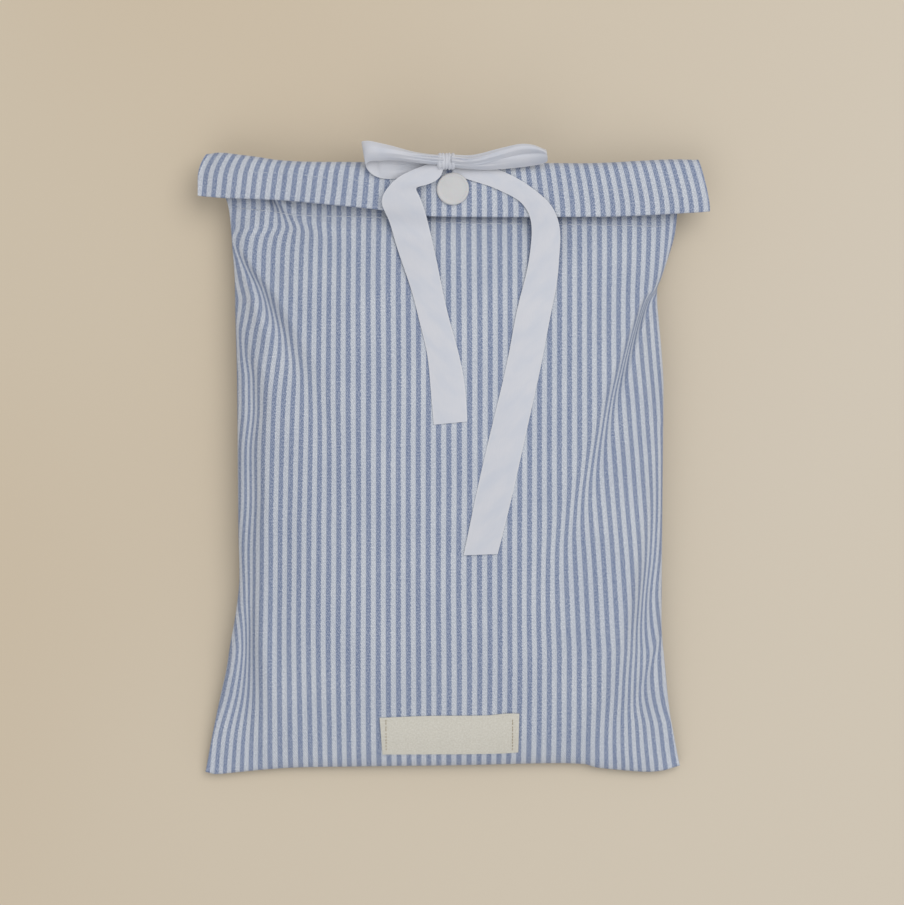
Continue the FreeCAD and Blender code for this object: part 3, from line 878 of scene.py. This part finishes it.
def flap_hem():
    """The layer turned in under the flap."""
    x, y, z = flap_surface(160, 50, depth=1.05, first=0.3, last=0.985, reach=0.975)
    return flap_layer("flap_hem_cloth", x, y, rippled(x, y, z))


def fold_strip():
    """The cloth between the back panel and the flap, built in its rest shape; it rides on no body."""
    section = [(mouth_y - 2.5, 6.2), (mouth_y - 0.5, 6.9), (mouth_y + 1, 7.2), (fold_y - 0.1, 7.7),
               (fold_y, 8.6), (fold_y + 0.05, 9.4)]
    half_width = 91.5
    side_height = 8.6  # its two sides lie higher, on the side seams
    rows = 24
    columns = 160
    line = spline(section, rows)
    half = smooth([(0, half_width - 0.5), (0.4, half_width), (1, half_width)], np.linspace(0, 1, rows))
    x = half[:, None] * np.linspace(-1, 1, columns)[None, :]
    y = np.repeat(line[:, :1], columns, axis=1)
    z = np.repeat(line[:, 1:], columns, axis=1)
    z = z + np.maximum(side_height - z, 0) * ease((np.abs(x) / half_width - 0.6) / 0.4)
    return cloth_piece("fold_cloth", x, y, z, x, arc_along(x, y, z, 0), cloth_thickness, flip=True)


flap = finish_piece(flap_cloth(), "striped_cotton", "flap", ["flap_panel"])
flap_inner = finish_piece(flap_hem(), "striped_cotton", "flap", ["flap_hem"])
flap_tree = tree_of(flap)
fold = fold_strip()
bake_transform(fold)
finish_piece(fold, "striped_cotton")


def hem_stitch_point(x):
    from_edge = 9.5
    return over([flap_tree], x, smooth(flap_edge, x) + from_edge)


# Tone on tone, so it hardly shows. It stops short of the snap.
hem_runs = (even_runs(hem_stitch_point, -86, snap_x - snap_radius - 3)
            + even_runs(hem_stitch_point, snap_x + snap_radius + 2, 86))
flap_thread = stitch_row("flap_hem_stitches", hem_runs, radius=0.08, body="flap")


# ---- Snap ----
def snap_cap():
    """The round cap: a low dished disc with a raised, rounded rim."""
    seat = flap_top_z + 0.12
    drawn_radius = 6.2  # of this profile, (radius, height)
    profile = [(0, 1.1), (1.5, 1.09), (3.2, 1.06), (4.4, 1.03), (4.9, 1.04), (5.2, 1.1), (5.45, 1.17),
               (5.7, 1.18), (5.92, 1.1), (6.08, 0.95), (6.17, 0.72), (6.2, 0.42), (6.1, 0.15),
               (5.7, 0), (2, 0)]
    scale = snap_radius / drawn_radius
    segments = 96
    points = [(snap_x, snap_y, seat + profile[0][1])]
    for radius, height in profile[1:]:
        for k in range(segments):
            turn = 2 * math.pi * k / segments
            x = snap_x + radius * scale * math.cos(turn)
            y = snap_y + radius * scale * math.sin(turn)
            points.append((x, y, seat + height))
    faces = [(0, 1 + k, 1 + (k + 1) % segments) for k in range(segments)]
    faces.extend(ring_faces(len(profile) - 1, segments, 1))
    return link_mesh("snap_outer_cap_shell", points, faces)


finish_piece(snap_cap(), "white_plastic", "flap", ["snap_outer_cap"])
for name in ("snap_stud", "snap_inner_cap", "snap_socket"):
    for material_slot in frame["nodes"][name].material_slots:
        material_slot.material = materials["white_plastic"]


# ---- Ribbon ----
ribbon_width = 12.5
ribbon_cut_half = 6  # half of a ribbon's width in the flat-cut map
loop_fullness = (0.98, 0.68)  # share of the ribbon's width that the arch takes, below and above
# Pairs of places on a tail's two edges, (x, y) each, from the knot to its cut end.
tail_left_edges = [(-6.4, 113, -4, 110.6), (-12, 111, -4.7, 108), (-17, 108.9, -6.6, 105.7),
                   (-20.6, 107, -10, 104), (-23.6, 104.5, -13.4, 103.1), (-25.9, 101.8, -14.4, 102.3),
                   (-27.3, 98.7, -13.6, 100.4), (-25.5, 92.2, -10.9, 93.2), (-22.4, 82.6, -8.5, 83.6),
                   (-18.9, 72, -6.3, 73.4), (-15.4, 61, -4.1, 62.4), (-12.6, 49.8, -1.2, 50.4),
                   (-10.6, 41.6, 1.2, 41.8), (-9, 28, 4, 27.6), (-7.7, 12.8, 5, 14)]
tail_right_edges = [(-0.8, 108.8, 1.6, 112.8), (3.6, 106.8, 7.4, 112.2), (8.7, 105.1, 13, 111),
                    (14, 103.4, 19, 109), (19, 101.2, 25.7, 105.6), (24.4, 98.2, 32.1, 101),
                    (28, 93.9, 37.2, 95.8), (29.5, 87.4, 40.2, 87.4), (29, 79.6, 40.1, 78.4),
                    (27.2, 69.4, 39, 66.6), (24.9, 60.7, 37.3, 57.9), (20.6, 39.3, 33.1, 36.2),
                    (15.8, 18.4, 28.5, 15.3), (9.8, -7, 22.8, -10.4), (3.6, -36.6, 16.5, -36.1)]


def shifted(values, reach):
    """Copies of a grid, shifted along its rows by each step up to reach either way."""
    padded = np.pad(values, ((reach, reach), (0, 0)), mode="edge")
    return np.array([padded[k:k + len(values)] for k in range(2 * reach + 1)])


def running_peak(values, reach):
    return shifted(values, reach).max(axis=0)


def softened(values, rows):
    """Values averaged along the rows with a bell of that many rows."""
    reach = 3 * rows
    weights = bell(np.arange(-reach, reach + 1) / (1.4 * rows))
    return np.average(shifted(values, reach), axis=0, weights=weights)


def ribbon_piece(name, x, y, z, flip=False):
    """A ribbon from grids of points whose rows go along it."""
    across = np.linspace(-ribbon_cut_half, ribbon_cut_half, x.shape[1])
    return cloth_piece(name, x, y, z, np.broadcast_to(across, x.shape), arc_along(x, y, z, 0),
                       ribbon_thickness, flip)


def ribbon_strip(name, edges, lift_pairs, rows=190, columns=15):
    """A tail laid over the cloth. lift_pairs gives (share of its length, extra height)."""
    line = spline(edges, rows)
    across = np.linspace(-1, 1, columns)[None, :]
    x, y = (spread(line[:, k], line[:, k + 2], (across + 1) / 2) for k in range(2))
    ground = ground_under([front_tree, flap_tree], x, y, flap_top_z)
    draped = softened(running_peak(ground, 5), 6)
    level = draped.mean(axis=1, keepdims=True)
    tilt = (draped * across).sum(axis=1, keepdims=True) / (across ** 2).sum()
    stiff = level + tilt * across
    stiffness = 0.65
    clearance = 0.08
    z = (1 - stiffness) * draped + stiffness * stiff
    short = (ground + clearance - z).max(axis=1, keepdims=True)
    z = z + softened(running_peak(np.maximum(short, 0), 3), 3)
    camber = 0.2 * (1 - across ** 2)
    lift = smooth(lift_pairs, np.linspace(0, 1, rows))[:, None]
    return ribbon_piece(name, x, y, z + ribbon_thickness + camber + lift, flip=True)


tail_left = ribbon_strip("tail_left_ribbon", tail_left_edges,
                         [(0, 3.6), (0.05, 3.3), (0.13, 3.5), (0.2, 2.4), (0.3, 0.4), (0.36, 0), (1, 0)])
tail_right = ribbon_strip("tail_right_ribbon", tail_right_edges,
                          [(0, 0.2), (0.12, 0.15), (0.2, 0.6), (0.28, 0.6), (0.4, 0), (1, 0)])

# A loop by its two edges, (x, y, z) each with z above the flap: out from the knot below, round
# the outer fold, and back above.
loop_left_edges = [(-3.5, 110.4, 1.5, -3.5, 115.2, 1.5), (-9, 109.2, 0.7, -9.5, 115.2, 0.8),
                   (-15, 107.8, 0.5, -16, 116, 0.8), (-22.7, 106.4, 0.5, -24.5, 117.4, 1.2),
                   (-29, 107, 0.9, -31, 118.9, 2), (-32.2, 109, 2, -34.3, 119.8, 3.4),
                   (-33.5, 111.2, 3.4, -34.9, 120.1, 5), (-32.4, 112.6, 4.6, -33, 120.2, 6.2),
                   (-29, 113, 5.2, -29.4, 119.6, 6.6), (-24, 113.2, 5.2, -23.4, 118.2, 6.4),
                   (-17.5, 112.6, 4.9, -16.8, 116.5, 5.6), (-11, 111.8, 4.4, -10.5, 115.6, 4.4),
                   (-4, 111.2, 3.6, -4, 115.2, 3.2)]
loop_right_edges = [(-1, 110.6, 3.0, -1, 115.4, 3.0), (5, 110.2, 2.5, 5.5, 115, 2.5),
                    (12, 109.9, 1.9, 13, 116.4, 2.2), (20, 110.3, 1.8, 21, 117.6, 2.6),
                    (28, 111.2, 1.5, 28, 118, 3.2), (33.4, 112.2, 1.9, 33, 117.6, 4.3),
                    (35.3, 113.2, 2.8, 35, 116.8, 5.4), (34, 114.6, 3.8, 33.4, 117.4, 6.8),
                    (30.5, 114.9, 4.2, 30, 118.6, 7.6), (26.5, 114.6, 4.3, 25.7, 119, 7.9),
                    (21, 113.4, 4.1, 20, 118, 7.4), (15, 111.8, 3.9, 14, 116.6, 6.3),
                    (7, 110.5, 3.5, 6.5, 114.8, 4.6), (-1, 110.6, 3.6, -1, 115.2, 3.6)]


def ribbon_loop(name, edges, knot_x, pressed=0.0, rows=150, columns=41):
    """Where its two edges come nearer together than the ribbon's width, the ribbon arches and pleats.

    pressed says how far a tail that lies on the lower strand flattens its arch.
    """
    line = spline(edges, rows)
    across = np.linspace(-1, 1, columns)[None, :]
    x, y, z = (spread(line[:, k], line[:, k + 3], (across + 1) / 2) for k in range(3))
    span = np.linalg.norm(line[:, 3:] - line[:, :3], axis=1)[:, None]
    below, above = loop_fullness
    full = below + (above - below) * ease(np.linspace(-1.5, 2.5, rows))[:, None]
    arch_factor = 0.375  # of a shallow arch: its rise squared for each share of extra length
    spare = np.maximum(ribbon_width * full / span - 1, 0)
    under_tail = 1 - ease(np.linspace(-1.2, 3.8, rows))[:, None]
    arch = span * np.sqrt(arch_factor * spare) * (1 - pressed * under_tail)
    gathered = np.exp(-(np.abs(x - knot_x) / 12) ** 1.5)
    fan = across * 3.4 * math.pi + 0.5 + 0.9 * np.sin(x / 6)
    pleats = (0.42 * np.cos(fan) + 0.16 * np.cos(2.3 * fan)) * gathered
    return ribbon_piece(name, x, y, flap_top_z + z + arch * (1 - across ** 2) + pleats)


loop_left = ribbon_loop("loop_left_ribbon", loop_left_edges, -5, pressed=0.92)
loop_right = ribbon_loop("loop_right_ribbon", loop_right_edges, 1.6)


def ribbon_knot():
    """The band round the middle of the bow: a pleated barrel, its pleats running over the fold."""
    middle = Vector((-3.0, 112.8, flap_top_z + 3.0))
    half_length = 3.7
    half_depth = 3.1
    half_height = 2.9
    rows = 72
    columns = 44
    turn = np.linspace(0, 2 * math.pi, rows)[:, None]
    t = np.linspace(-1, 1, columns)[None, :]
    waist = 1 - 0.05 * bell(t / 0.5)
    closing = np.sqrt(np.clip(1 - np.abs(t) ** 5, 0, 1)) * 0.4 + 0.6
    pleat = 0.065 * np.cos(t * 5.2 * math.pi + 0.6 * np.sin(turn) + np.sin(3 * t))
    twist = 0.03 * np.sin(t * 9 + turn)
    size = (waist + pleat + twist) * closing
    x = middle.x + half_length * t * (1 - 0.05 * np.cos(2 * turn)) + 0.25 * np.sin(turn)
    y = middle.y + half_depth * np.cos(turn) * size
    z = middle.z + half_height * np.sin(turn) * size
    along = np.repeat(turn * 3, columns, axis=1)
    across = np.repeat(t * 4, rows, axis=0)
    return cloth_piece("knot_ribbon", x, y, z, across, along, ribbon_thickness)


def bar_tack():
    """Close thread loops that hold the knot to the flap."""
    low, high = node_box("ribbon_tack")
    loops = 7
    runs = []
    for k in range(loops):
        x = low.x + (high.x - low.x) * (k + 0.5) / loops
        runs.append(((x, low.y - 0.5, low.z), (x, high.y + 0.5, low.z + 0.1)))
    runs.append(((low.x, low.y + 0.4, high.z - 0.3), (high.x, low.y + 0.4, high.z - 0.3)))
    return stitch_row("ribbon_tack", runs, radius=0.3, body="flap")


for tail, body in ((tail_left, "tail_left"), (tail_right, "tail_right")):
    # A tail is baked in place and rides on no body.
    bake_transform(tail)
    finish_piece(tail, "satin_ribbon", None, ["ribbon_" + body])
for loop, body in ((loop_left, "loop_left"), (loop_right, "loop_right")):
    finish_piece(loop, "satin_ribbon", body, ["ribbon_" + body])
knot = finish_piece(ribbon_knot(), "satin_ribbon", "flap", ["ribbon_knot"])
tack = bar_tack()


# ---- Floor, light and camera ----
def floor():
    half_size = 3500
    steps = 60
    line = np.linspace(-half_size, half_size, steps)
    x, y = np.meshgrid(line, line)
    points = np.stack([x, y, np.zeros_like(x)], axis=-1).reshape(-1, 3)
    piece = link_mesh("floor", points, grid_faces(steps, steps))
    piece.data.materials.append(floor_paper())


def area_light(name, place, size, power, colour):
    data = bpy.data.lights.new(name, "AREA")
    data.shape = "DISK"
    data.size = size
    data.energy = power
    data.color = colour
    light = link_object(name, data, place)
    light.rotation_euler = (-Vector(place)).to_track_quat("-Z", "Y").to_euler()


def world():
    scene_world = bpy.data.worlds.new("studio")
    scene_world.use_nodes = True
    background = scene_world.node_tree.nodes["Background"]
    background.inputs["Color"].default_value = (0.95, 0.96, 1.0, 1.0)
    background.inputs["Strength"].default_value = 0.5
    bpy.context.scene.world = scene_world


def camera():
    """Straight above the pouch."""
    distance = 1.2
    view_width = 0.347
    focus_height = 0.012
    data = bpy.data.cameras.new("camera")
    data.sensor_width = 36
    data.lens = data.sensor_width * (distance - focus_height) / view_width
    bpy.context.scene.camera = link_object("camera", data, (-0.0008, 0.0023, distance))


floor()
area_light("key", (0.7, 0.7, 1.75), 1.9, 17.5, (1.0, 0.985, 0.96))
area_light("fill", (-0.5, -1.2, 1.6), 2.0, 7.0, (1.0, 0.99, 0.97))
world()
camera()
bpy.context.scene.view_settings.view_transform = "Standard"
